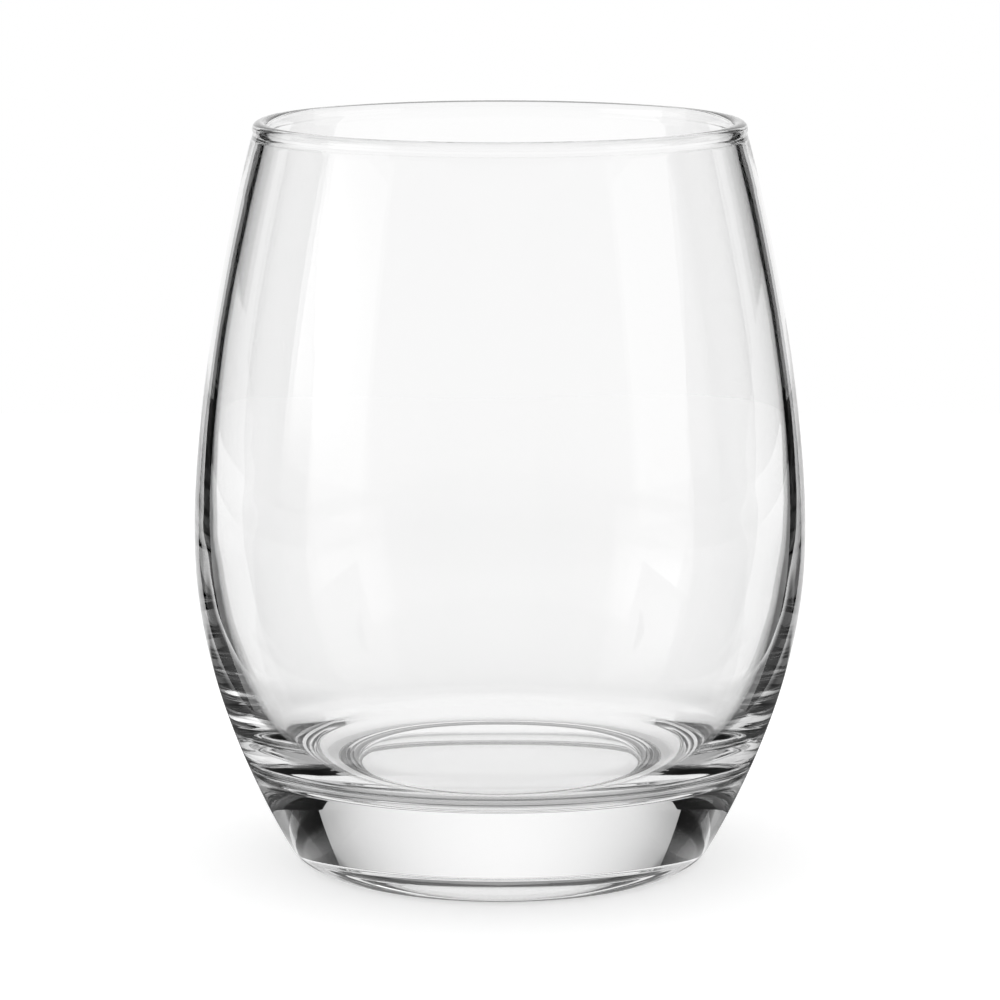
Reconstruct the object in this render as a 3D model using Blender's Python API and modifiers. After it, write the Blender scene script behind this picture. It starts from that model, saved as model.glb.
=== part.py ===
"""A clear barrel-shaped drinking glass with a thick solid base, turned from one profile.

The glass is one piece: a bowl that swells to a belly and draws in to a beaded rim, on a heavy base with
a rounded heel, a flat standing ring and a recess under the middle. Run with
blender --background --python part.py. Units are metres, +Z is up, and the origin is the centre of the
standing ring on the table.
"""

import math

import bpy
from mathutils import Vector
from mathutils.geometry import interpolate_bezier

MM = 0.001

# Overall sizes of the outside.
HEIGHT = 102.3 * MM
BELLY_DIAMETER = 84.0 * MM
BELLY_HEIGHT = 46.2 * MM
RIM_DIAMETER = 67.2 * MM

# The fire-polished bead round the rim.
BEAD_DIAMETER = 2.16 * MM
BEAD_NECK_ANGLE = math.radians(25)

# The foot: the heel, the flat ring that touches the table and its inner lip.
STANDING_DIAMETER = 51.0 * MM
RING_WIDTH = 1.3 * MM
HEEL_RADIUS = 4.45 * MM
LIP_RADIUS = 0.8 * MM

# The recess under the base: a steep flank up to a faintly domed top.
RECESS_DIAMETER = 37.0 * MM
RECESS_DEPTH = 4.8 * MM
RECESS_DOME = 0.4 * MM
FLANK_LEAN = math.radians(10)
FLANK_HANDLE = 3.0 * MM

# How the outer curve leaves the heel and reaches the bead, measured from upright, and how far each end of
# its two spans runs on before it bends.
HEEL_FLARE = math.radians(28.9)
RIM_TAPER = math.radians(15.4)
HEEL_HANDLE = 25.8 * MM
BELLY_LOWER_HANDLE = 6.7 * MM
BELLY_UPPER_HANDLE = 15.9 * MM
RIM_HANDLE = 14.3 * MM

# The floor over the solid base, and the rounded corner where it turns up into the wall.
FLOOR_HEIGHT = 14.35 * MM
FLOOR_SLOPE = math.radians(1.15)
CORNER_RADIUS = 7.25 * MM
CORNER_FLARE = math.radians(39.1)
CORNER_WALL = 5.2 * MM

# The inside of the wall, with its own two spans.
BELLY_WALL = 2.3 * MM
INNER_BELLY_HEIGHT = 48.5 * MM
INNER_RIM_TAPER = math.radians(14.0)
CORNER_HANDLE = 8.1 * MM
INNER_BELLY_LOWER_HANDLE = 5.65 * MM
INNER_BELLY_UPPER_HANDLE = 17.4 * MM
INNER_RIM_HANDLE = 16.8 * MM

# How finely the profile and the turn are divided.
TURN_STEPS = 72
BODY_POINTS = 11
BEAD_POINTS = 9
HEEL_POINTS = 6
CORNER_POINTS = 6
LIP_POINTS = 4
FLANK_POINTS = 6
DISC_POINTS = 4
SOUNDING_POINTS = 200
MERGE_DISTANCE = 0.01 * MM

GLASS_COLOUR = (0.93, 0.96, 0.95, 1.0)
GLASS_ROUGHNESS = 0.02
GLASS_IOR = 1.52


def clear_scene():
    """Remove whatever the file opened with."""
    for scene_object in list(bpy.data.objects):
        bpy.data.objects.remove(scene_object, do_unlink=True)


def upright(radius, height):
    """A profile point at a radius from the axis and a height above the table."""
    return Vector((radius, 0.0, height))


def leaning(angle):
    """The upward direction that leans outwards by an angle from upright."""
    return upright(math.sin(angle), math.cos(angle))


def arc(centre, radius, start, end, count):
    """Points on a circle about a profile point, from one angle to another above the horizontal."""
    points = []
    for index in range(count):
        angle = start + (end - start) * index / (count - 1)
        points.append(centre + radius * upright(math.cos(angle), math.sin(angle)))
    return points


def dish(centre_height, edge, count):
    """Points of a shallow dish from the axis to its edge, with a height that goes as the radius squared."""
    points = []
    for index in range(count):
        share = index / (count - 1)
        height = centre_height + (edge.z - centre_height) * share**2
        points.append(upright(edge.x * share, height))
    return points


def span(start, start_handle, end_handle, end, count):
    """Points along one curved span of the body, handles given as offsets from their own ends."""
    return list(interpolate_bezier(start, start + start_handle, end + end_handle, end, count))


def radius_at(height, curve):
    """The radius of a curve that runs down from point to point, at one height."""
    for upper, lower in zip(curve, curve[1:]):
        if upper.z >= height >= lower.z:
            return upper.lerp(lower, (upper.z - height) / (upper.z - lower.z)).x
    return curve[-1].x


def bead():
    """The bead from its inner neck over the top to its outer neck."""
    centre = upright((RIM_DIAMETER - BEAD_DIAMETER) / 2, HEIGHT - BEAD_DIAMETER / 2)
    return arc(centre, BEAD_DIAMETER / 2, math.pi + BEAD_NECK_ANGLE, -BEAD_NECK_ANGLE, BEAD_POINTS)


def heel():
    """The rounded heel from the outer curve down to the standing ring."""
    centre = upright(STANDING_DIAMETER / 2, HEEL_RADIUS)
    return arc(centre, HEEL_RADIUS, -HEEL_FLARE, -math.pi / 2, HEEL_POINTS)


def outer_upper(rim_neck):
    """The outside from the bead's outer neck down to the belly."""
    return span(
        rim_neck,
        -RIM_HANDLE * leaning(-RIM_TAPER),
        BELLY_UPPER_HANDLE * leaning(0.0),
        upright(BELLY_DIAMETER / 2, BELLY_HEIGHT),
        BODY_POINTS,
    )


def outer_lower(heel_top, count):
    """The outside from the belly down to the top of the heel."""
    return span(
        upright(BELLY_DIAMETER / 2, BELLY_HEIGHT),
        -BELLY_LOWER_HANDLE * leaning(0.0),
        HEEL_HANDLE * leaning(HEEL_FLARE),
        heel_top,
        count,
    )


def floor_and_corner(outside):
    """The floor from its middle to its edge and the corner up to the wall, a set wall inside the outside."""
    rise = CORNER_RADIUS * (math.cos(FLOOR_SLOPE) - math.sin(CORNER_FLARE))
    height = FLOOR_HEIGHT + rise
    end = upright(radius_at(height, outside) - CORNER_WALL, height)
    centre = end - CORNER_RADIUS * upright(math.cos(CORNER_FLARE), -math.sin(CORNER_FLARE))
    corner = arc(centre, CORNER_RADIUS, FLOOR_SLOPE - math.pi / 2, -CORNER_FLARE, CORNER_POINTS)
    edge = corner[0]
    floor = dish(edge.z - math.tan(FLOOR_SLOPE) * edge.x / 2, edge, DISC_POINTS)
    return floor + corner[1:]


def inner_wall(corner_end, rim_neck):
    """The inside of the wall, from the corner up past the belly to the bead's inner neck."""
    belly = upright(BELLY_DIAMETER / 2 - BELLY_WALL, INNER_BELLY_HEIGHT)
    lower = span(
        corner_end,
        CORNER_HANDLE * leaning(CORNER_FLARE),
        -INNER_BELLY_LOWER_HANDLE * leaning(0.0),
        belly,
        BODY_POINTS,
    )
    upper = span(
        belly,
        INNER_BELLY_UPPER_HANDLE * leaning(0.0),
        -INNER_RIM_HANDLE * leaning(-INNER_RIM_TAPER),
        rim_neck,
        BODY_POINTS,
    )
    return lower + upper[1:]


def underside():
    """From the inner edge of the standing ring, over the lip and up the flank to the middle of the recess."""
    ring_inside = STANDING_DIAMETER / 2 - RING_WIDTH
    lip = arc(upright(ring_inside, LIP_RADIUS), LIP_RADIUS, -math.pi / 2, FLANK_LEAN - math.pi, LIP_POINTS)
    edge = upright(RECESS_DIAMETER / 2, RECESS_DEPTH)
    dome_fall = upright(edge.x, -2 * RECESS_DOME).normalized()
    flank = span(
        lip[-1],
        FLANK_HANDLE * leaning(-FLANK_LEAN),
        FLANK_HANDLE * dome_fall,
        edge,
        FLANK_POINTS,
    )
    dome = dish(RECESS_DEPTH + RECESS_DOME, edge, DISC_POINTS)[::-1]
    return lip + flank[1:] + dome[1:]


def glass_profile():
    """The whole closed profile, up the inside, over the rim and down the outside."""
    rim = bead()
    foot = heel()
    base = floor_and_corner(outer_lower(foot[0], SOUNDING_POINTS))
    inside = base + inner_wall(base[-1], rim[0])[1:]
    outside = outer_upper(rim[-1]) + outer_lower(foot[0], BODY_POINTS)[1:]
    return inside[:-1] + rim + outside[1:-1] + foot + underside()


def glass_material():
    """Clear soda-lime glass with a fire-polished surface."""
    material = bpy.data.materials.new("clear_glass")
    material.use_nodes = True
    shader = material.node_tree.nodes["Principled BSDF"]
    shader.inputs["Base Color"].default_value = GLASS_COLOUR
    shader.inputs["Roughness"].default_value = GLASS_ROUGHNESS
    shader.inputs["Metallic"].default_value = 0.0
    shader.inputs["IOR"].default_value = GLASS_IOR
    shader.inputs["Transmission Weight"].default_value = 1.0
    return material


def turned(name, profile, collection):
    """One solid turned about the Z axis from a profile that starts and ends on it."""
    mesh = bpy.data.meshes.new(name)
    edges = [(index, index + 1) for index in range(len(profile) - 1)]
    mesh.from_pydata(profile, edges, [])
    piece = bpy.data.objects.new(name, mesh)
    collection.objects.link(piece)
    screw = piece.modifiers.new("turn", "SCREW")
    screw.axis = "Z"
    screw.angle = math.tau
    screw.steps = TURN_STEPS
    screw.render_steps = TURN_STEPS
    screw.use_merge_vertices = True
    screw.merge_threshold = MERGE_DISTANCE
    screw.use_smooth_shade = True
    return piece


def main():
    clear_scene()
    collection = bpy.data.collections.new("drinking_glass")
    bpy.context.scene.collection.children.link(collection)
    tumbler = turned("tumbler", glass_profile(), collection)
    tumbler.data.materials.append(glass_material())


main()
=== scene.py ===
"""Looks for a clear barrel-shaped drinking glass: the glass, the studio round it and the camera.

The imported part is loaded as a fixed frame, and one finely turned piece stands for its solid. Sizes in the
classes are millimetres, and become metres where a mesh is made.
"""

import logging
import math
from dataclasses import dataclass
from enum import Enum
from typing import Any

import bpy
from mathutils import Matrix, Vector
from mathutils.geometry import interpolate_bezier

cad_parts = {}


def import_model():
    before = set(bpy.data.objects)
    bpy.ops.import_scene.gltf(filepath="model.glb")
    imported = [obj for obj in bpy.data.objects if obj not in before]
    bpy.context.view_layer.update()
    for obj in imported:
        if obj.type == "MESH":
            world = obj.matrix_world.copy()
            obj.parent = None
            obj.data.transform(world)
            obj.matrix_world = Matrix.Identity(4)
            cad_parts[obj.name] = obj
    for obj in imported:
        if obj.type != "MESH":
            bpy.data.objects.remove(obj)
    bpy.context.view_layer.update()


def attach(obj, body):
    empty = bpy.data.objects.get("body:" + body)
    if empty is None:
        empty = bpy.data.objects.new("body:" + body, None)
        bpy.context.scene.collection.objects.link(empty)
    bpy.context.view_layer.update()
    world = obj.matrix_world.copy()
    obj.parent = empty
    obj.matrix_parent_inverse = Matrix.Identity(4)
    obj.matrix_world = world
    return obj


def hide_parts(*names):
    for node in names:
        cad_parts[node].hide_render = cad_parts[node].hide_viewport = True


LOG = logging.getLogger("drinking_glass")
MM = 0.001
FACES_OF_ONE_WALL = 2
FACES_OF_TWO_WALLS = 4
TWO_REFLECTIONS = 2
# Halfway between one count of faces or reflections and the next.
HALF_STEP = 0.5
# Light that bounces on inside the wall is dimmed between these counts, down to this share.
PLAIN_BOUNCES = 14
LONG_WAY_BOUNCES = 24
LONG_WAY_LIGHT = 0.25
MOST_BOUNCES = 40


class Side(Enum):
    """A side of the table as the camera sees it, with its sign along X."""

    LEFT = -1
    RIGHT = 1


def linear(hex_colour: str) -> tuple[float, float, float, float]:
    """Turn an sRGB hex colour into the linear colour that sockets take.

    Args:
        hex_colour: Colour such as "#f4f4f2".

    Returns:
        Linear red, green, blue and an alpha of 1.
    """
    channels = []
    # The sRGB curve, for each pair of digits.
    for start in (1, 3, 5):
        value = int(hex_colour[start : start + 2], 16) / 255
        channels.append(value / 12.92 if value <= 0.04045 else ((value + 0.055) / 1.055) ** 2.4)
    return (channels[0], channels[1], channels[2], 1.0)


def add_node(
    tree: bpy.types.NodeTree,
    kind: str,
    settings: dict[str, Any] | None = None,
    inputs: dict[str | int, Any] | None = None,
) -> bpy.types.Node:
    """Add one node with its settings, its plain values and its links.

    Args:
        tree: Tree that gets the node.
        kind: Blender's name for the kind of node.
        settings: Properties of the node itself.
        inputs: A plain value or another node's output socket for each named or numbered input.

    Returns:
        The new node.
    """
    node = tree.nodes.new(kind)
    for name, value in (settings or {}).items():
        setattr(node, name, value)
    for key, value in (inputs or {}).items():
        if isinstance(value, bpy.types.NodeSocket):
            tree.links.new(value, node.inputs[key])
        else:
            node.inputs[key].default_value = value
    return node


def empty_material(name: str) -> bpy.types.Material:
    """Make a material with an empty node tree.

    Args:
        name: Name of the material.

    Returns:
        The new material.
    """
    material = bpy.data.materials.new(name)
    material.use_nodes = True
    material.node_tree.nodes.clear()
    return material


def seen_by_eye(tree: bpy.types.NodeTree) -> bpy.types.NodeSocket:
    """Give 1 to what the camera sees, straight or in glass, and 0 to the light that bounces about.

    Args:
        tree: Tree of a stage material or of the world.

    Returns:
        The output socket that holds the share.
    """
    path = add_node(tree, "ShaderNodeLightPath")
    sight: bpy.types.NodeSocket = path.outputs["Is Camera Ray"]
    for kind in ("Is Glossy Ray", "Is Transmission Ray"):
        either = add_node(
            tree, "ShaderNodeMath", {"operation": "MAXIMUM"}, {0: sight, 1: path.outputs[kind]}
        )
        sight = either.outputs[0]
    unbounced = add_node(
        tree, "ShaderNodeMath", {"operation": "LESS_THAN"}, {0: path.outputs["Diffuse Depth"], 1: HALF_STEP}
    )
    both = add_node(tree, "ShaderNodeMath", {"operation": "MULTIPLY"}, {0: sight, 1: unbounced.outputs[0]})
    return both.outputs[0]


def seen_straight(tree: bpy.types.NodeTree, share: float, faces: int) -> bpy.types.NodeSocket:
    """Give 1 to what the camera sees past the glass, a share to what it sees through it and 0 to the rest.

    Where one wall is enough, what the camera sees by two reflections gets 1 too.

    Args:
        tree: Tree of a stage material or of the world.
        share: Value for a sight through the glass with no reflection on the way.
        faces: How many faces of the glass such a sight passes at least.

    Returns:
        The output socket that holds the value.
    """
    path = add_node(tree, "ShaderNodeLightPath")
    walls = add_node(
        tree,
        "ShaderNodeMath",
        {"operation": "GREATER_THAN"},
        {0: path.outputs["Transmission Depth"], 1: faces - HALF_STEP},
    )
    unmirrored = add_node(
        tree, "ShaderNodeMath", {"operation": "LESS_THAN"}, {0: path.outputs["Glossy Depth"], 1: HALF_STEP}
    )
    through = add_node(
        tree, "ShaderNodeMath", {"operation": "MULTIPLY"}, {0: walls.outputs[0], 1: unmirrored.outputs[0]}
    )
    shared = add_node(tree, "ShaderNodeMath", {"operation": "MULTIPLY"}, {0: through.outputs[0], 1: share})
    either = add_node(
        tree,
        "ShaderNodeMath",
        {"operation": "MAXIMUM"},
        {0: path.outputs["Is Camera Ray"], 1: shared.outputs[0]},
    )
    if faces == FACES_OF_ONE_WALL:
        twice = add_node(
            tree,
            "ShaderNodeMath",
            {"operation": "COMPARE"},
            {0: path.outputs["Glossy Depth"], 1: TWO_REFLECTIONS, 2: HALF_STEP},
        )
        either = add_node(
            tree, "ShaderNodeMath", {"operation": "MAXIMUM"}, {0: either.outputs[0], 1: twice.outputs[0]}
        )
    return either.outputs[0]


def seen_deep(tree: bpy.types.NodeTree, faces: int, mirrors: int) -> bpy.types.NodeSocket:
    """Give 1 to what the camera sees past so many faces of the glass and by so many reflections.

    Args:
        tree: Tree of a stage material.
        faces: How many faces the sight passes at least.
        mirrors: How many times it is reflected at least.

    Returns:
        The output socket that holds 1 or 0.
    """
    path = add_node(tree, "ShaderNodeLightPath")
    tests = []
    for depth, least in (("Transmission Depth", faces), ("Glossy Depth", mirrors)):
        inputs = {0: path.outputs[depth], 1: least - HALF_STEP}
        tests.append(add_node(tree, "ShaderNodeMath", {"operation": "GREATER_THAN"}, inputs))
    both = add_node(
        tree, "ShaderNodeMath", {"operation": "MULTIPLY"}, {0: tests[0].outputs[0], 1: tests[1].outputs[0]}
    )
    return both.outputs[0]


def dimmed_by_the_way(tree: bpy.types.NodeTree, brightness: bpy.types.NodeSocket) -> bpy.types.NodeSocket:
    """Dim what the eye gets after many bounces inside the wall, where real glass takes up the light.

    Args:
        tree: Tree of a stage material or of the world.
        brightness: Output socket with the plain brightness.

    Returns:
        The output socket that holds the dimmed brightness.
    """
    path = add_node(tree, "ShaderNodeLightPath")
    left_over = add_node(
        tree,
        "ShaderNodeMapRange",
        inputs={
            "Value": path.outputs["Ray Depth"],
            "From Min": PLAIN_BOUNCES,
            "From Max": LONG_WAY_BOUNCES,
            "To Min": 1.0,
            "To Max": LONG_WAY_LIGHT,
        },
    )
    dimmed = add_node(
        tree, "ShaderNodeMath", {"operation": "MULTIPLY"}, {0: brightness, 1: left_over.outputs[0]}
    )
    return dimmed.outputs[0]


@dataclass(frozen=True)
class SodaLimeGlass:
    """Soda-lime glass, blown and fire-polished: clear and colourless, with a bright, smooth skin."""

    colour: str = "#ffffff"
    ior: float = 1.52
    scuffed_roughness: float = 0.3
    scuff_top: float = 0.35

    def material(self) -> bpy.types.Material:
        """Make the glass, clear all over and finely scuffed where it has stood on tables.

        Returns:
            The finished material.
        """
        material = empty_material("soda_lime_glass_fire_polished")
        tree = material.node_tree
        place = add_node(tree, "ShaderNodeTexCoord")
        height = add_node(tree, "ShaderNodeSeparateXYZ", inputs={0: place.outputs["Object"]})
        # Tables dull the standing ring, in a band that is too low to show from the side.
        scuff = add_node(
            tree,
            "ShaderNodeMapRange",
            {"interpolation_type": "SMOOTHSTEP"},
            {
                "Value": height.outputs["Z"],
                "From Min": 0.0,
                "From Max": self.scuff_top * MM,
                "To Min": self.scuffed_roughness,
                "To Max": 0.0,
            },
        )
        # Fire polishing leaves no grain, so the eye gets clear bent images and sharp highlights.
        shader = add_node(
            tree,
            "ShaderNodeBsdfPrincipled",
            inputs={
                "Base Color": linear(self.colour),
                "Roughness": scuff.outputs["Result"],
                "IOR": self.ior,
                "Transmission Weight": 1.0,
            },
        )
        add_node(tree, "ShaderNodeOutputMaterial", inputs={"Surface": shader.outputs[0]})
        return material


@dataclass(frozen=True)
class MattTable:
    """A matt white table sheet, which glows to white for the eye and still takes a soft shadow.

    In the glass it has painted shade at the sides and painted light under the base. Reflections show a ring
    of painted shadow under the glass, and sights through one wall show a ring of painted shade further out.
    Distances are millimetres.
    """

    colour: str = "#f4f4f4"
    glow: float = 0.40
    glow_in_glass: float = 0.222
    side_painted_shade: float = 0.1
    side_from: float = 35.0
    side_to: float = 85.0
    side_back: float = 130.0
    side_end: float = 260.0
    under_painted_light: float = 0.29
    under_from: float = 24.0
    under_to: float = 60.0
    ring_shade: float = 0.35
    ring_from: tuple[float, float] = (17.0, 21.0)
    ring_to: tuple[float, float] = (30.0, 38.0)
    rim_shade: float = 0.65
    rim_from: tuple[float, float] = (45.0, 60.0)
    rim_to: tuple[float, float] = (110.0, 150.0)

    @staticmethod
    def band(
        tree: bpy.types.NodeTree,
        reach: bpy.types.NodeSocket,
        rise: tuple[float, float],
        fall: tuple[float, float],
    ) -> bpy.types.NodeSocket:
        """Give 1 to a ring of the table and 0 inside and outside it.

        Args:
            tree: The sheet's tree.
            reach: Output socket with the distance from the middle.
            rise: Where the ring begins and where it is full.
            fall: Where it begins to end and where it is over.

        Returns:
            The output socket that holds the share.
        """
        edges = []
        for (start, end), share in ((rise, 1.0), (fall, 0.0)):
            edge = add_node(
                tree,
                "ShaderNodeMapRange",
                {"interpolation_type": "SMOOTHSTEP"},
                {
                    "Value": reach,
                    "From Min": start * MM,
                    "From Max": end * MM,
                    "To Min": 1.0 - share,
                    "To Max": share,
                },
            )
            edges.append(edge.outputs[0])
        both = add_node(tree, "ShaderNodeMath", {"operation": "MULTIPLY"}, {0: edges[0], 1: edges[1]})
        return both.outputs[0]

    def material(self) -> bpy.types.Material:
        """Make the sheet.

        Returns:
            The finished material.
        """
        material = empty_material("matt_white_sheet")
        tree = material.node_tree
        place = add_node(tree, "ShaderNodeTexCoord")
        spot = add_node(tree, "ShaderNodeSeparateXYZ", inputs={0: place.outputs["Object"]})
        aside = add_node(tree, "ShaderNodeMath", {"operation": "ABSOLUTE"}, {0: spot.outputs["X"]})
        # Painted shade: in the glass the sheet glows less at its sides, beside and a little behind the
        # glass.
        beside = add_node(
            tree,
            "ShaderNodeMapRange",
            {"interpolation_type": "SMOOTHSTEP"},
            {
                "Value": spot.outputs["Y"],
                "From Min": self.side_back * MM,
                "From Max": self.side_end * MM,
                "To Min": self.glow_in_glass - self.side_painted_shade,
                "To Max": self.glow_in_glass,
            },
        )
        in_glass = add_node(
            tree,
            "ShaderNodeMapRange",
            {"interpolation_type": "SMOOTHSTEP"},
            {
                "Value": aside.outputs[0],
                "From Min": self.side_from * MM,
                "From Max": self.side_to * MM,
                "To Min": self.glow_in_glass,
                "To Max": beside.outputs[0],
            },
        )
        reach = add_node(
            tree, "ShaderNodeVectorMath", {"operation": "LENGTH"}, {0: place.outputs["Object"]}
        )
        # Painted light: in the glass the sheet glows more under the base and near it.
        under = add_node(
            tree,
            "ShaderNodeMapRange",
            {"interpolation_type": "SMOOTHSTEP"},
            {
                "Value": reach.outputs["Value"],
                "From Min": self.under_from * MM,
                "From Max": self.under_to * MM,
                "To Min": self.under_painted_light,
                "To Max": 0.0,
            },
        )
        through_base = add_node(
            tree, "ShaderNodeMath", {"operation": "ADD"}, {0: in_glass.outputs[0], 1: under.outputs[0]}
        )
        path = add_node(tree, "ShaderNodeLightPath")
        level = add_node(
            tree,
            "ShaderNodeMapRange",
            inputs={
                "Value": path.outputs["Is Camera Ray"],
                "To Min": through_base.outputs[0],
                "To Max": self.glow,
            },
        )
        lift = add_node(
            tree, "ShaderNodeMath", {"operation": "MULTIPLY"}, {0: seen_by_eye(tree), 1: level.outputs[0]}
        )
        mirrored = add_node(
            tree,
            "ShaderNodeMath",
            {"operation": "GREATER_THAN"},
            {0: path.outputs["Glossy Depth"], 1: HALF_STEP},
        )
        one_wall = add_node(
            tree,
            "ShaderNodeMath",
            {"operation": "COMPARE"},
            {0: path.outputs["Transmission Depth"], 1: FACES_OF_ONE_WALL, 2: HALF_STEP},
        )
        # Painted shadow: reflections show a dark ring under the standing ring, and sights through one wall
        # show a ring of painted shade further out.
        ring = self.band(tree, reach.outputs["Value"], self.ring_from, self.ring_to)
        shade = add_node(tree, "ShaderNodeMath", {"operation": "MULTIPLY"}, {0: ring, 1: self.ring_shade})
        rim = self.band(tree, reach.outputs["Value"], self.rim_from, self.rim_to)
        rim_shade = add_node(tree, "ShaderNodeMath", {"operation": "MULTIPLY"}, {0: rim, 1: self.rim_shade})
        straight = add_node(
            tree,
            "ShaderNodeMath",
            {"operation": "MULTIPLY"},
            {0: rim_shade.outputs[0], 1: one_wall.outputs[0]},
        )
        painted_shade_share = add_node(
            tree,
            "ShaderNodeMapRange",
            inputs={
                "Value": mirrored.outputs[0],
                "To Min": straight.outputs[0],
                "To Max": shade.outputs[0],
            },
        )
        # The painted shade darkens both the sheet's colour and its glow.
        left = add_node(tree, "ShaderNodeMath", {"operation": "SUBTRACT"}, {0: 1.0, 1: painted_shade_share.outputs[0]})
        tone = add_node(
            tree,
            "ShaderNodeVectorMath",
            {"operation": "SCALE"},
            {0: linear(self.colour)[:3], "Scale": left.outputs[0]},
        )
        shaded_lift = add_node(
            tree, "ShaderNodeMath", {"operation": "MULTIPLY"}, {0: lift.outputs[0], 1: left.outputs[0]}
        )
        # A matt sheet has no highlights: the eye gets an even white with a soft shadow at the foot, and in
        # the glass the painted shade and painted light above.
        sheet = add_node(tree, "ShaderNodeBsdfDiffuse", inputs={"Color": tone.outputs[0]})
        glow = add_node(tree, "ShaderNodeEmission", inputs={"Strength": shaded_lift.outputs[0]})
        both = add_node(tree, "ShaderNodeAddShader", inputs={0: sheet.outputs[0], 1: glow.outputs[0]})
        add_node(tree, "ShaderNodeOutputMaterial", inputs={"Surface": both.outputs[0]})
        return material


@dataclass(frozen=True)
class StudioCard:
    """A card or lit cloth of the studio, which only the glass shows.

    Its brightness runs from its first edge to its second, and blends into the brightness of its border
    towards that second edge and towards its two other ends, over a share of its width and of its length.
    A sight straight through so many faces of the glass passes it by, or else the card shows only after so
    many faces and reflections.
    """

    name: str
    first_edge: float = 0.0
    second_edge: float = 0.0
    border: float = 0.0
    border_share: tuple[float, float] = (0.001, 0.001)
    passed_by: int = FACES_OF_TWO_WALLS
    first_share: float = 0.0
    only_after: tuple[int, int] | None = None

    def material(self) -> bpy.types.Material:
        """Make the card's face, on the map that its sheet carries.

        Returns:
            The finished material.
        """
        material = empty_material(self.name)
        tree = material.node_tree
        place = add_node(tree, "ShaderNodeTexCoord")
        spot = add_node(tree, "ShaderNodeSeparateXYZ", inputs={0: place.outputs["UV"]})
        across = add_node(
            tree,
            "ShaderNodeMapRange",
            inputs={"Value": spot.outputs["X"], "To Min": self.first_edge, "To Max": self.second_edge},
        )
        inward = [
            add_node(tree, "ShaderNodeMath", {"operation": "SUBTRACT"}, {0: 1.0, 1: spot.outputs["X"]}),
            add_node(tree, "ShaderNodeMath", {"operation": "PINGPONG"}, {0: spot.outputs["Y"], 1: 0.5}),
        ]
        if self.first_share:
            inward.append(spot)
        blend: bpy.types.NodeSocket = across.outputs[0]
        for depth, share in zip(inward, (*self.border_share, self.first_share)):
            faded = add_node(
                tree,
                "ShaderNodeMapRange",
                {"interpolation_type": "SMOOTHSTEP"},
                {"Value": depth.outputs[0], "From Max": share, "To Min": self.border, "To Max": blend},
            )
            blend = faded.outputs[0]
        face = add_node(tree, "ShaderNodeEmission", inputs={"Strength": dimmed_by_the_way(tree, blend)})
        passed = add_node(tree, "ShaderNodeBsdfTransparent")
        if self.only_after:
            deep = seen_deep(tree, *self.only_after)
            shallow = add_node(tree, "ShaderNodeMath", {"operation": "SUBTRACT"}, {0: 1.0, 1: deep})
            missed = shallow.outputs[0]
        else:
            missed = seen_straight(tree, 1.0, self.passed_by)
        both = add_node(
            tree, "ShaderNodeMixShader", inputs={0: missed, 1: face.outputs[0], 2: passed.outputs[0]}
        )
        add_node(tree, "ShaderNodeOutputMaterial", inputs={"Surface": both.outputs[0]})
        material.cycles.emission_sampling = "NONE"
        return material


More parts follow.
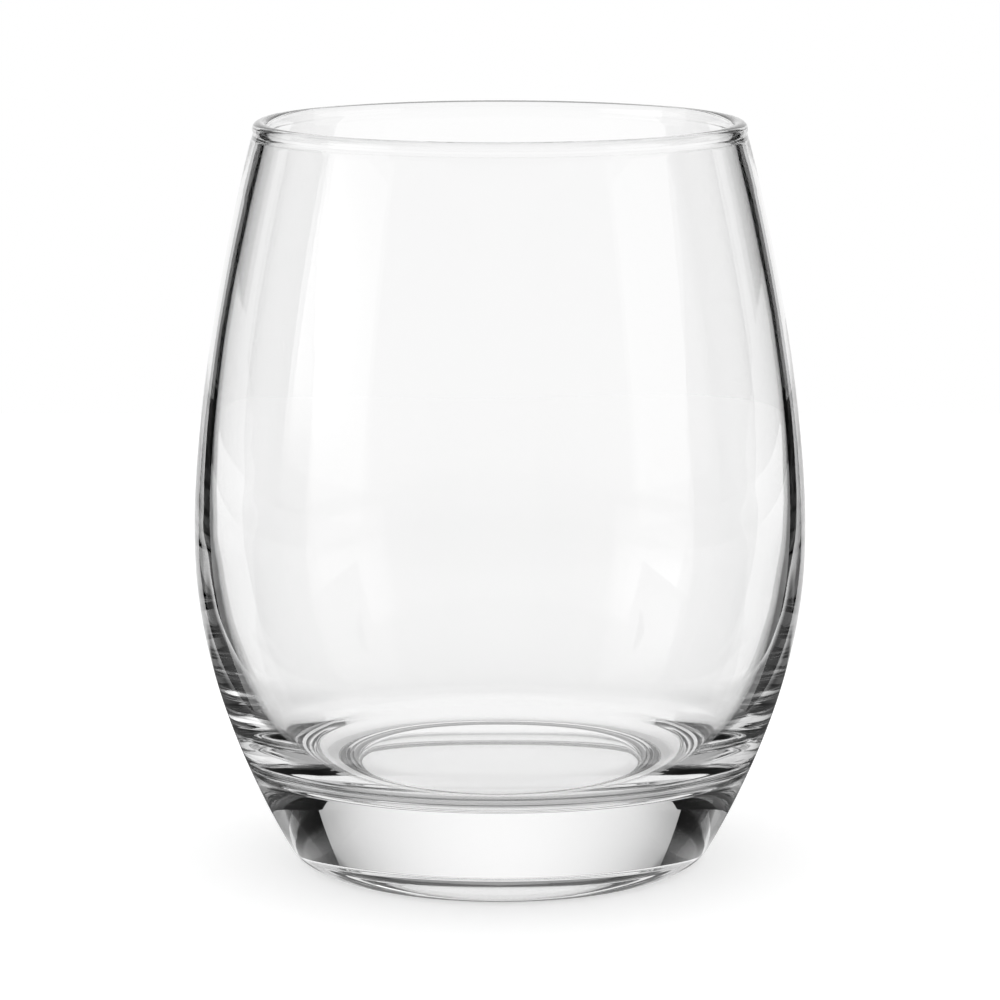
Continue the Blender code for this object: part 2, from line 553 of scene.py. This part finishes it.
@dataclass
class TurnedTree:
    """Geometry Nodes that turn a profile about the Z axis into one welded, faintly rippled solid."""

    turn_steps: int = 288
    weld: float = 0.002
    ripple_depth: float = 0.02
    ripple_width: float = 30.0
    ripple_height: float = 5.0
    ripple_seed: float = 7.0

    def inputs(self, glass: bpy.types.Material) -> dict[str, tuple[str, Any]]:
        """List the tree's named inputs.

        Args:
            glass: Material for the whole surface.

        Returns:
            The kind of socket and the value for each name.
        """
        return {
            "Turn Steps": ("NodeSocketInt", self.turn_steps),
            "Weld Distance": ("NodeSocketFloat", self.weld * MM),
            "Ripple Depth": ("NodeSocketFloat", self.ripple_depth * MM),
            "Ripples Each Way": (
                "NodeSocketVector",
                (1 / (self.ripple_width * MM), 1 / (self.ripple_width * MM), 1 / (self.ripple_height * MM)),
            ),
            "Ripple Seed": ("NodeSocketFloat", self.ripple_seed),
            "Glass": ("NodeSocketMaterial", glass),
        }

    def tree(self, glass: bpy.types.Material) -> bpy.types.NodeTree:
        """Build the node tree.

        Args:
            glass: Material for the whole surface.

        Returns:
            The tree, with its inputs still at Blender's defaults.
        """
        tree = bpy.data.node_groups.new("turned_glass", "GeometryNodeTree")
        tree.is_modifier = True
        tree.interface.new_socket("Profile", in_out="INPUT", socket_type="NodeSocketGeometry")
        for name, (kind, _) in self.inputs(glass).items():
            tree.interface.new_socket(name, in_out="INPUT", socket_type=kind)
        tree.interface.new_socket("Solid", in_out="OUTPUT", socket_type="NodeSocketGeometry")
        given = add_node(tree, "NodeGroupInput")
        profile = given.outputs["Profile"]
        counted = add_node(
            tree, "GeometryNodeAttributeDomainSize", {"component": "MESH"}, {"Geometry": profile}
        )
        around = add_node(
            tree, "ShaderNodeMath", {"operation": "ADD"}, {0: given.outputs["Turn Steps"], 1: 1.0}
        )
        grid = add_node(
            tree,
            "GeometryNodeMeshGrid",
            inputs={"Vertices X": around.outputs[0], "Vertices Y": counted.outputs["Point Count"]},
        )
        index = add_node(tree, "GeometryNodeInputIndex")
        by_rows = {0: index.outputs[0], 1: counted.outputs["Point Count"]}
        along = add_node(tree, "ShaderNodeMath", {"operation": "FLOORED_MODULO"}, by_rows)
        share = add_node(tree, "ShaderNodeMath", {"operation": "DIVIDE"}, by_rows)
        step = add_node(tree, "ShaderNodeMath", {"operation": "FLOOR"}, {0: share.outputs[0]})
        turn = add_node(
            tree, "ShaderNodeMath", {"operation": "DIVIDE"}, {0: math.tau, 1: given.outputs["Turn Steps"]}
        )
        angle = add_node(
            tree, "ShaderNodeMath", {"operation": "MULTIPLY"}, {0: step.outputs[0], 1: turn.outputs[0]}
        )
        point = add_node(tree, "GeometryNodeInputPosition")
        sampled = add_node(
            tree,
            "GeometryNodeSampleIndex",
            {"data_type": "FLOAT_VECTOR", "domain": "POINT"},
            {"Geometry": profile, "Value": point.outputs[0], "Index": along.outputs[0]},
        )
        turned = add_node(
            tree,
            "ShaderNodeVectorRotate",
            {"rotation_type": "Z_AXIS"},
            {"Vector": sampled.outputs["Value"], "Angle": angle.outputs[0]},
        )
        placed = add_node(
            tree,
            "GeometryNodeSetPosition",
            inputs={"Geometry": grid.outputs["Mesh"], "Position": turned.outputs[0]},
        )
        welded = add_node(
            tree,
            "GeometryNodeMergeByDistance",
            inputs={"Geometry": placed.outputs[0], "Distance": given.outputs["Weld Distance"]},
        )
        outward = add_node(tree, "GeometryNodeFlipFaces", inputs={"Mesh": welded.outputs[0]})
        stretched = add_node(
            tree,
            "ShaderNodeVectorMath",
            {"operation": "MULTIPLY"},
            {0: point.outputs[0], 1: given.outputs["Ripples Each Way"]},
        )
        ripple = add_node(
            tree,
            "ShaderNodeTexNoise",
            {"noise_dimensions": "4D"},
            {
                "Vector": stretched.outputs[0],
                "W": given.outputs["Ripple Seed"],
                "Scale": 1.0,
                "Detail": 0.0,
            },
        )
        sunk = add_node(
            tree,
            "ShaderNodeMath",
            {"operation": "MULTIPLY"},
            {0: ripple.outputs[0], 1: given.outputs["Ripple Depth"]},
        )
        normal = add_node(tree, "GeometryNodeInputNormal")
        inward = add_node(
            tree, "ShaderNodeVectorMath", {"operation": "SCALE"}, {0: normal.outputs[0], "Scale": -1.0}
        )
        offset = add_node(
            tree,
            "ShaderNodeVectorMath",
            {"operation": "SCALE"},
            {0: inward.outputs[0], "Scale": sunk.outputs[0]},
        )
        rippled = add_node(
            tree,
            "GeometryNodeSetPosition",
            inputs={"Geometry": outward.outputs[0], "Offset": offset.outputs[0]},
        )
        smooth = add_node(
            tree,
            "GeometryNodeSetShadeSmooth",
            inputs={"Geometry": rippled.outputs[0], "Shade Smooth": True},
        )
        real = add_node(tree, "GeometryNodeRealizeInstances", inputs={"Geometry": smooth.outputs[0]})
        dressed = add_node(
            tree,
            "GeometryNodeSetMaterial",
            inputs={"Geometry": real.outputs[0], "Material": given.outputs["Glass"]},
        )
        add_node(tree, "NodeGroupOutput", inputs={"Solid": dressed.outputs[0]})
        return tree

    def solid(self, name: str, profile: list[Vector], glass: bpy.types.Material) -> bpy.types.Object:
        """Turn a profile and leave the result as a plain mesh.

        Args:
            name: Name of the new piece.
            profile: Points in metres, from the axis up the inside and down the outside to the axis.
            glass: Material for the whole surface.

        Returns:
            The piece, at the origin, with no modifiers left.
        """
        line = bpy.data.meshes.new(name + "_profile")
        line.from_pydata(profile, [(i, i + 1) for i in range(len(profile) - 1)], [])
        piece = bpy.data.objects.new(name, line)
        bpy.context.scene.collection.objects.link(piece)
        modifier = piece.modifiers.new("turned", "NODES")
        modifier.node_group = self.tree(glass)
        values = self.inputs(glass)
        for socket in modifier.node_group.interface.items_tree:
            if socket.in_out == "INPUT" and socket.name in values:
                modifier[socket.identifier] = values[socket.name][1]
        graph = bpy.context.evaluated_depsgraph_get()
        mesh = bpy.data.meshes.new_from_object(piece.evaluated_get(graph))
        piece.modifiers.clear()
        piece.data = mesh
        mesh.name = name
        bpy.data.meshes.remove(line)
        return piece


@dataclass
class Tumbler:
    """The glass itself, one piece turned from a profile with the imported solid's sizes.

    Only the handle of the inner wall under the belly is its own, as the photograph's dark side bands ask:
    it makes the wall up to 0.6 mm thinner there than the solid's.
    """

    height: float = 102.3
    belly_diameter: float = 84.0
    belly_height: float = 46.2
    rim_diameter: float = 67.2
    bead_diameter: float = 2.16
    bead_neck_angle: float = 25.0
    standing_diameter: float = 51.0
    ring_width: float = 1.3
    heel_radius: float = 4.45
    lip_radius: float = 0.8
    recess_diameter: float = 37.0
    recess_depth: float = 4.8
    recess_dome: float = 0.4
    flank_lean: float = 10.0
    flank_handle: float = 3.0
    heel_flare: float = 28.9
    rim_taper: float = 15.4
    heel_handle: float = 25.8
    belly_lower_handle: float = 6.7
    belly_upper_handle: float = 15.9
    rim_handle: float = 14.3
    floor_height: float = 14.35
    floor_slope: float = 1.15
    corner_radius: float = 7.25
    corner_flare: float = 39.1
    corner_wall: float = 5.2
    belly_wall: float = 2.3
    inner_belly_height: float = 48.5
    inner_rim_taper: float = 14.0
    corner_handle: float = 8.1
    inner_belly_lower_handle: float = 12.0
    inner_belly_upper_handle: float = 17.4
    inner_rim_handle: float = 16.8

    wall_points: int = 42
    bead_points: int = 33
    heel_points: int = 23
    corner_points: int = 27
    lip_points: int = 11
    flank_points: int = 23
    disc_points: int = 11
    sounding_points: int = 400

    @staticmethod
    def upright(radius: float, height: float) -> Vector:
        """Give a profile point at a radius from the axis and a height above the table."""
        return Vector((radius, 0.0, height))

    def leaning(self, degrees: float) -> Vector:
        """Give the upward direction that leans outwards by an angle from upright."""
        return self.upright(math.sin(math.radians(degrees)), math.cos(math.radians(degrees)))

    def arc(self, centre: Vector, radius: float, start: float, end: float, count: int) -> list[Vector]:
        """Lay points on a circle about a profile point.

        Args:
            centre: Middle of the circle.
            radius: Its radius.
            start: First angle above the horizontal, in degrees.
            end: Last angle.
            count: How many points.

        Returns:
            The points in order.
        """
        angles = [math.radians(start + (end - start) * i / (count - 1)) for i in range(count)]
        return [centre + radius * self.upright(math.cos(a), math.sin(a)) for a in angles]

    def dish(self, centre_height: float, edge: Vector) -> list[Vector]:
        """Lay points of a shallow dish from the axis to its edge.

        Args:
            centre_height: Height at the axis.
            edge: Where the dish ends.

        Returns:
            The points from the axis outwards.
        """
        shares = [i / (self.disc_points - 1) for i in range(self.disc_points)]
        return [self.upright(edge.x * s, centre_height + (edge.z - centre_height) * s**2) for s in shares]

    @staticmethod
    def span(start: Vector, leave: Vector, arrive: Vector, end: Vector, count: int) -> list[Vector]:
        """Lay points along one curved span, with handles given as offsets from their own ends."""
        return list(interpolate_bezier(start, start + leave, end + arrive, end, count))

    def bead(self) -> list[Vector]:
        """Lay the bead from its inner neck over the top to its outer neck.

        Returns:
            The points in order.
        """
        radius = self.bead_diameter / 2
        centre = self.upright(self.rim_diameter / 2 - radius, self.height - radius)
        return self.arc(centre, radius, 180 + self.bead_neck_angle, -self.bead_neck_angle, self.bead_points)

    def heel(self) -> list[Vector]:
        """Lay the rounded heel from the outer curve down to the standing ring."""
        centre = self.upright(self.standing_diameter / 2, self.heel_radius)
        return self.arc(centre, self.heel_radius, -self.heel_flare, -90, self.heel_points)

    def outer_upper(self, rim_neck: Vector) -> list[Vector]:
        """Lay the outside from the bead's outer neck down to the belly.

        Args:
            rim_neck: End of the bead.

        Returns:
            The points from the bead to the belly.
        """
        return self.span(
            rim_neck,
            -self.rim_handle * self.leaning(-self.rim_taper),
            self.belly_upper_handle * self.leaning(0),
            self.upright(self.belly_diameter / 2, self.belly_height),
            self.wall_points,
        )

    def outer_lower(self, heel_top: Vector, count: int) -> list[Vector]:
        """Lay the outside from the belly down to the top of the heel.

        Args:
            heel_top: Where the outer curve meets the heel.
            count: How many points.

        Returns:
            The points from the belly to the heel.
        """
        return self.span(
            self.upright(self.belly_diameter / 2, self.belly_height),
            -self.belly_lower_handle * self.leaning(0),
            self.heel_handle * self.leaning(self.heel_flare),
            heel_top,
            count,
        )

    def floor_and_corner(self, heel_top: Vector) -> list[Vector]:
        """Lay the floor from its middle outwards and the rounded corner that turns up into the wall.

        Args:
            heel_top: Where the outer curve meets the heel.

        Returns:
            The points from the axis to the foot of the wall.
        """
        slope, flare = math.radians(self.floor_slope), math.radians(self.corner_flare)
        foot = self.floor_height + self.corner_radius * (math.cos(slope) - math.sin(flare))
        outside = self.outer_lower(heel_top, self.sounding_points)
        nearest = min(outside, key=lambda point: abs(point.z - foot))
        end = self.upright(nearest.x - self.corner_wall, foot)
        centre = end - self.corner_radius * self.upright(math.cos(flare), -math.sin(flare))
        corner = self.arc(
            centre, self.corner_radius, self.floor_slope - 90, -self.corner_flare, self.corner_points
        )
        edge = corner[0]
        return self.dish(edge.z - math.tan(slope) * edge.x / 2, edge) + corner[1:]

    def inner_wall(self, foot: Vector, rim_neck: Vector) -> list[Vector]:
        """Lay the inside of the wall from the corner up past the belly to the bead's inner neck.

        Args:
            foot: End of the corner.
            rim_neck: Start of the bead.

        Returns:
            The points from the corner to the bead.
        """
        belly = self.upright(self.belly_diameter / 2 - self.belly_wall, self.inner_belly_height)
        lower = self.span(
            foot,
            self.corner_handle * self.leaning(self.corner_flare),
            -self.inner_belly_lower_handle * self.leaning(0),
            belly,
            self.wall_points,
        )
        upper = self.span(
            belly,
            self.inner_belly_upper_handle * self.leaning(0),
            -self.inner_rim_handle * self.leaning(-self.inner_rim_taper),
            rim_neck,
            self.wall_points,
        )
        return lower + upper[1:]

    def underside(self) -> list[Vector]:
        """Lay the lip of the standing ring, the steep flank and the domed recess in to the axis.

        Returns:
            The points from the standing ring to the axis.
        """
        ring_inside = self.standing_diameter / 2 - self.ring_width
        lip = self.arc(
            self.upright(ring_inside, self.lip_radius),
            self.lip_radius,
            -90,
            self.flank_lean - 180,
            self.lip_points,
        )
        edge = self.upright(self.recess_diameter / 2, self.recess_depth)
        flank = self.span(
            lip[-1],
            self.flank_handle * self.leaning(-self.flank_lean),
            self.flank_handle * self.upright(edge.x, -2 * self.recess_dome).normalized(),
            edge,
            self.flank_points,
        )
        dome = self.dish(self.recess_depth + self.recess_dome, edge)[::-1]
        return lip + flank[1:] + dome[1:]

    def profile(self) -> list[Vector]:
        """Lay the whole profile, up the inside, over the rim and down the outside.

        Returns:
            The points in metres.
        """
        rim = self.bead()
        foot = self.heel()
        base = self.floor_and_corner(foot[0])
        inside = base + self.inner_wall(base[-1], rim[0])[1:]
        outside = self.outer_upper(rim[-1]) + self.outer_lower(foot[0], self.wall_points)[1:]
        points = inside[:-1] + rim + outside[1:-1] + foot + self.underside()
        return [point * MM for point in points]

    def build(self, glass: SodaLimeGlass) -> bpy.types.Object:
        """Turn the glass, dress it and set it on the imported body.

        Args:
            glass: Finish of the whole piece.

        Returns:
            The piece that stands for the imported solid.
        """
        piece = TurnedTree().solid("glass_tumbler", self.profile(), glass.material())
        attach(piece, "root")
        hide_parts("tumbler")
        LOG.info("%s: %d faces", piece.name, len(piece.data.polygons))
        return piece


@dataclass
class Studio:
    """The white table, the lit paper behind it, the dim room and the cards that draw the glass's edges.

    Lengths are millimetres and angles degrees: azimuths are measured from straight behind the glass, and
    heights of the dim top from level. The numbers of side_after and back_mat_after are the faces of the
    glass and the reflections that a sight has passed at least when it meets those cards.
    """

    table_half: float = 400.0
    table_drop: float = 0.05
    bounce_light: float = 0.86
    room_stops: tuple[tuple[float, float], ...] = (
        (180.0, 0.42),
        (112.0, 0.42),
        (88.0, 0.5),
        (80.0, 0.75),
        (70.0, 0.85),
        (62.0, 0.5),
        (41.0, 0.45),
        (33.0, 0.57),
        (18.0, 0.87),
        (0.0, 1.0),
    )
    spare_stop: float = 0.5
    paper_colour: str = "#ffffff"
    paper_through: float = 0.88
    top_from: float = 22.5
    top_to: float = 26.0
    side_top: float = 0.06
    back_top: float = 0.3
    back_rise: float = 5.0
    back_top_from: float = 60.0
    back_top_to: float = 38.0
    flag_front: tuple[float, float] = (82.5, 46.0)
    flag_back: tuple[float, float] = (126.0, 190.0)
    flag_height: float = 150.0
    toe_front: tuple[float, float] = (71.6, 10.0)
    toe_top: float = 75.0
    toe_slant: float = 0.9
    tall_distance: float = 400.0
    tall_from: tuple[float, float] = (28.6, 52.6)
    tall_to: float = 57.0
    tall_bottom: float = 86.0
    tall_top: float = 420.0
    side_to: float = 112.0
    side_after: tuple[int, int] = (3, 1)
    # The mats are painted shade on the table near the glass, which only the glass shows.
    mat_inner: float = 28.0
    mat_outer: tuple[float, float] = (66.0, 100.0)
    mat_front: float = -46.0
    mat_back: float = 120.0
    mat_brightness: float = 0.08
    mat_border: float = 0.9
    mat_border_share: tuple[float, float] = (0.25, 0.14)
    mat_first_share: float = 0.09
    back_mat_inner: float = 64.0
    back_mat_outer: float = 230.0
    back_mat_front: float = 86.0
    back_mat_back: float = 360.0
    back_mat_lift: float = 0.6
    back_mat_share: tuple[float, float] = (0.1, 0.03)
    back_mat_after: tuple[int, int] = (2, 3)
    box_from: float = 92.0
    box_to: float = 129.0
    box_distance: float = 900.0
    box_height: float = 400.0
    left_box: tuple[float, float] = (2.0, 0.9)
    right_box: tuple[float, float] = (0.85, 0.85)
    box_border: float = 0.8
    box_border_share: tuple[float, float] = (0.03, 0.4)
    apron_front: float = 48.0
    apron_near: float = 0.95
    apron_far: float = 0.42
    card_lift: float = 0.3

    def sheet(self, name: str, corners: list[tuple[float, float, float]]) -> bpy.types.Object:
        """Make one flat four-cornered sheet of the stage, mapped from its first corner to its third.

        Args:
            name: Name of the sheet.
            corners: Its corners in millimetres, in order.

        Returns:
            The new object, marked as stage.
        """
        mesh = bpy.data.meshes.new(name)
        mesh.from_pydata([Vector(c) * MM for c in corners], [], [(0, 1, 2, 3)])
        face_map = mesh.uv_layers.new(name="face")
        for loop, spot in zip(face_map.data, ((0, 0), (1, 0), (1, 1), (0, 1))):
            loop.uv = spot
        made = bpy.data.objects.new(name, mesh)
        bpy.context.scene.collection.objects.link(made)
        return made

    def only_in_glass(self, card: bpy.types.Object, finish: StudioCard) -> None:
        """Dress a card and keep it out of every sight but the one that glass gives.

        Args:
            card: The card's sheet.
            finish: What its face looks like.
        """
        card.data.materials.append(finish.material())
        card.visible_camera = False
        card.visible_diffuse = False
        card.visible_shadow = False
        card.visible_volume_scatter = False

    @staticmethod
    def heading(side: Side, azimuth: float) -> Vector:
        """Give the level direction at an angle from straight behind the glass, towards one side."""
        angle = math.radians(azimuth)
        return Vector((side.value * math.sin(angle), math.cos(angle), 0.0))

    def table(self) -> None:
        """Lay the table just under the standing ring."""
        half, z = self.table_half, -self.table_drop
        corners = [(-half, -half, z), (half, -half, z), (half, half, z), (-half, half, z)]
        self.sheet("table", corners).data.materials.append(MattTable().material())

    def flag(self, side: Side) -> None:
        """Stand a black card beside the glass, a little behind it, with a slanted toe towards the camera.

        Args:
            side: Which side it stands on.
        """
        (front_x, front_y), (back_x, back_y) = self.flag_front, self.flag_back
        front, back, top = side.value * front_x, side.value * back_x, self.flag_height
        corners = [(front, front_y, 0.0), (back, back_y, 0.0), (back, back_y, top), (front, front_y, top)]
        black = StudioCard("black_card", passed_by=FACES_OF_ONE_WALL)
        self.only_in_glass(self.sheet(f"flag_{side.name.lower()}", corners), black)
        toe = Vector((side.value * self.toe_front[0], self.toe_front[1], 0.0))
        foot, tip = Vector((front, front_y, 0.0)), Vector((front, front_y, self.toe_top))
        slanted = [toe, foot, tip, toe.lerp(tip, self.toe_slant)]
        self.only_in_glass(self.sheet(f"flag_toe_{side.name.lower()}", [tuple(c) for c in slanted]), black)

    def tall_card(self, side: Side) -> None:
        """Hang black cards high behind the glass and beside it, which its solid base shows upwards.

        The inner edge of the first one slants outwards, which makes its image in the base steeper.

        Args:
            side: Which side they hang on.
        """
        low, high = Vector((0.0, 0.0, self.tall_bottom)), Vector((0.0, 0.0, self.tall_top))
        azimuths = (*self.tall_from, self.tall_to, self.side_to)
        foot, tip, middle, outer = (self.heading(side, a) * self.tall_distance for a in azimuths)
        black = StudioCard("black_card")
        deep_black = StudioCard("deep_black_card", only_after=self.side_after)
        cards = ((black, foot, tip, middle), (deep_black, middle, middle, outer))
        for finish, inner_foot, inner_tip, end in cards:
            corners = [inner_foot + low, end + low, end + high, inner_tip + high]
            name = f"tall_{finish.name}_{side.name.lower()}"
            self.only_in_glass(self.sheet(name, [tuple(c) for c in corners]), finish)

    def mat(self, side: Side) -> None:
        """Lay a dark mat of painted shade on the table between the glass and its black card, which only the
        glass shows.

        Args:
            side: Which side it lies on.
        """
        inner, z, grey = side.value * self.mat_inner, self.card_lift, self.mat_brightness
        near, far = (side.value * outer for outer in self.mat_outer)
        front, back = self.mat_front, self.mat_back
        corners = [(inner, front, z), (near, front, z), (far, back, z), (inner, back, z)]
        self.only_in_glass(
            self.sheet(f"mat_{side.name.lower()}", corners),
            StudioCard(
                "painted_shade_mat",
                grey,
                grey,
                self.mat_border,
                self.mat_border_share,
                first_share=self.mat_first_share,
            ),
        )

    def back_mat(self, side: Side) -> None:
        """Lay a dark mat of painted shade on the table behind the first one, which only repeated
        reflections show.

        Args:
            side: Which side it lies on.
        """
        inner, outer = side.value * self.back_mat_inner, side.value * self.back_mat_outer
        front, back, z = self.back_mat_front, self.back_mat_back, self.back_mat_lift
        grey = self.mat_brightness
        corners = [(inner, front, z), (outer, front, z), (outer, back, z), (inner, back, z)]
        self.only_in_glass(
            self.sheet(f"back_mat_{side.name.lower()}", corners),
            StudioCard(
                "painted_shade_back_mat",
                grey,
                grey,
                self.mat_border,
                self.back_mat_share,
                first_share=self.mat_first_share,
                only_after=self.back_mat_after,
            ),
        )

    def light_box(self, side: Side, brightness: tuple[float, float]) -> None:
        """Stand a lit cloth to one side and a little towards the camera.

        Args:
            side: Which side it stands on.
            brightness: Of its edge beside the glass and its edge nearer the camera.
        """
        azimuths = (self.box_from, self.box_to)
        feet = [self.heading(side, azimuth) * self.box_distance for azimuth in azimuths]
        top = Vector((0.0, 0.0, self.box_height))
        corners = [feet[0], feet[1], feet[1] + top, feet[0] + top]
        name = f"light_box_{side.name.lower()}"
        self.only_in_glass(
            self.sheet(name, [tuple(c) for c in corners]),
            StudioCard(name, *brightness, self.box_border, self.box_border_share),
        )

    def apron(self) -> None:
        """Lay the front of the table as the glass shows it, with painted shade that deepens towards the
        camera.
        """
        half, near, z = self.table_half, -self.apron_front, self.card_lift
        corners = [(-half, near, z), (-half, -half, z), (half, -half, z), (half, near, z)]
        self.only_in_glass(
            self.sheet("apron", corners),
            StudioCard("dim_front", self.apron_near, self.apron_far, self.apron_far),
        )

    def room(self, tree: bpy.types.NodeTree) -> bpy.types.NodeSocket:
        """Shade the room as the edges of the glass show it: lit paper behind, dimmer sides, front and top.

        Args:
            tree: The world's tree.

        Returns:
            The output socket that holds the brightness for a direction.
        """
        place = add_node(tree, "ShaderNodeTexCoord")
        level = add_node(
            tree,
            "ShaderNodeVectorMath",
            {"operation": "MULTIPLY"},
            {0: place.outputs["Generated"], 1: (1.0, 1.0, 0.0)},
        )
        heading = add_node(tree, "ShaderNodeVectorMath", {"operation": "NORMALIZE"}, {0: level.outputs[0]})
        backward = add_node(tree, "ShaderNodeSeparateXYZ", inputs={0: heading.outputs[0]}).outputs["Y"]
        direction = add_node(tree, "ShaderNodeSeparateXYZ", inputs={0: place.outputs["Generated"]})
        upward = direction.outputs["Z"]
        share = add_node(
            tree, "ShaderNodeMapRange", inputs={"Value": backward, "From Min": -1.0, "From Max": 1.0}
        )
        around = add_node(tree, "ShaderNodeValToRGB", inputs={"Fac": share.outputs[0]})
        stops = around.color_ramp.elements
        while len(stops) < len(self.room_stops):
            stops.new(self.spare_stop)
        for stop, (azimuth, brightness) in zip(stops, self.room_stops):
            stop.position = (1 + math.cos(math.radians(azimuth))) / 2
            stop.color = (brightness, brightness, brightness, 1.0)
        behind = {
            "Value": backward,
            "From Min": math.cos(math.radians(self.back_top_from)),
            "From Max": math.cos(math.radians(self.back_top_to)),
        }
        rise = math.sin(math.radians(self.back_rise))
        backness = add_node(tree, "ShaderNodeMapRange", inputs={**behind, "To Max": rise})
        lowered = add_node(
            tree, "ShaderNodeMath", {"operation": "SUBTRACT"}, {0: upward, 1: backness.outputs[0]}
        )
        above = add_node(
            tree,
            "ShaderNodeMapRange",
            {"interpolation_type": "SMOOTHSTEP"},
            {
                "Value": lowered.outputs[0],
                "From Min": math.sin(math.radians(self.top_from)),
                "From Max": math.sin(math.radians(self.top_to)),
            },
        )
        overhead = add_node(
            tree, "ShaderNodeMapRange", inputs={**behind, "To Min": self.side_top, "To Max": self.back_top}
        )
        room = add_node(
            tree,
            "ShaderNodeMapRange",
            inputs={"Value": above.outputs[0], "To Min": around.outputs[0], "To Max": overhead.outputs[0]},
        )
        return room.outputs[0]

    def surroundings(self) -> None:
        """Make what lies straight behind white, shade the room for the rest and light the table softly."""
        world = bpy.data.worlds.new("studio_room")
        world.use_nodes = True
        tree = world.node_tree
        tree.nodes.clear()
        shown = add_node(
            tree,
            "ShaderNodeMath",
            {"operation": "MAXIMUM"},
            {0: seen_straight(tree, self.paper_through, FACES_OF_TWO_WALLS), 1: self.room(tree)},
        )
        strength = add_node(
            tree,
            "ShaderNodeMapRange",
            inputs={
                "Value": seen_by_eye(tree),
                "To Min": self.bounce_light,
                "To Max": dimmed_by_the_way(tree, shown.outputs[0]),
            },
        )
        back = add_node(
            tree,
            "ShaderNodeBackground",
            inputs={"Color": linear(self.paper_colour), "Strength": strength.outputs["Result"]},
        )
        add_node(tree, "ShaderNodeOutputWorld", inputs={"Surface": back.outputs[0]})
        bpy.context.scene.world = world

    def build(self) -> None:
        """Set up the whole studio."""
        self.table()
        self.apron()
        self.surroundings()
        for side in Side:
            self.flag(side)
            self.tall_card(side)
            self.mat(side)
            self.back_mat(side)
        self.light_box(Side.LEFT, self.left_box)
        self.light_box(Side.RIGHT, self.right_box)
        LOG.info("studio: table, apron, eight black cards, four mats, two light boxes and the room")


@dataclass
class Viewpoint:
    """The camera, at the photograph's height, distance and angle of view."""

    distance: float = 600.0
    height: float = 154.87
    aim_height: float = 50.02
    lens: float = 159.4
    sensor: float = 36.0
    nearest: float = 10.0
    farthest: float = 50000.0

    def build(self) -> None:
        """Make the camera and give it to the scene."""
        data = bpy.data.cameras.new("camera")
        data.lens = self.lens
        data.sensor_width = self.sensor
        data.clip_start = self.nearest * MM
        data.clip_end = self.farthest * MM
        camera = bpy.data.objects.new("camera", data)
        bpy.context.scene.collection.objects.link(camera)
        stand = Vector((0.0, -self.distance, self.height)) * MM
        aim = Vector((0.0, 0.0, self.aim_height)) * MM
        camera.location = stand
        camera.rotation_mode = "QUATERNION"
        camera.rotation_quaternion = (aim - stand).to_track_quat("-Z", "Y")
        bpy.context.scene.camera = camera


def main() -> None:
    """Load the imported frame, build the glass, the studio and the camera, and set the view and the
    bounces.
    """
    logging.basicConfig(level=logging.INFO, format="%(name)s: %(message)s")
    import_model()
    Tumbler().build(SodaLimeGlass())
    Studio().build()
    Viewpoint().build()
    scene = bpy.context.scene
    scene.view_settings.view_transform = "Standard"
    scene.cycles.max_bounces = MOST_BOUNCES
    scene.cycles.transmission_bounces = MOST_BOUNCES
    scene.cycles.glossy_bounces = MOST_BOUNCES


if __name__ == "__main__":
    main()
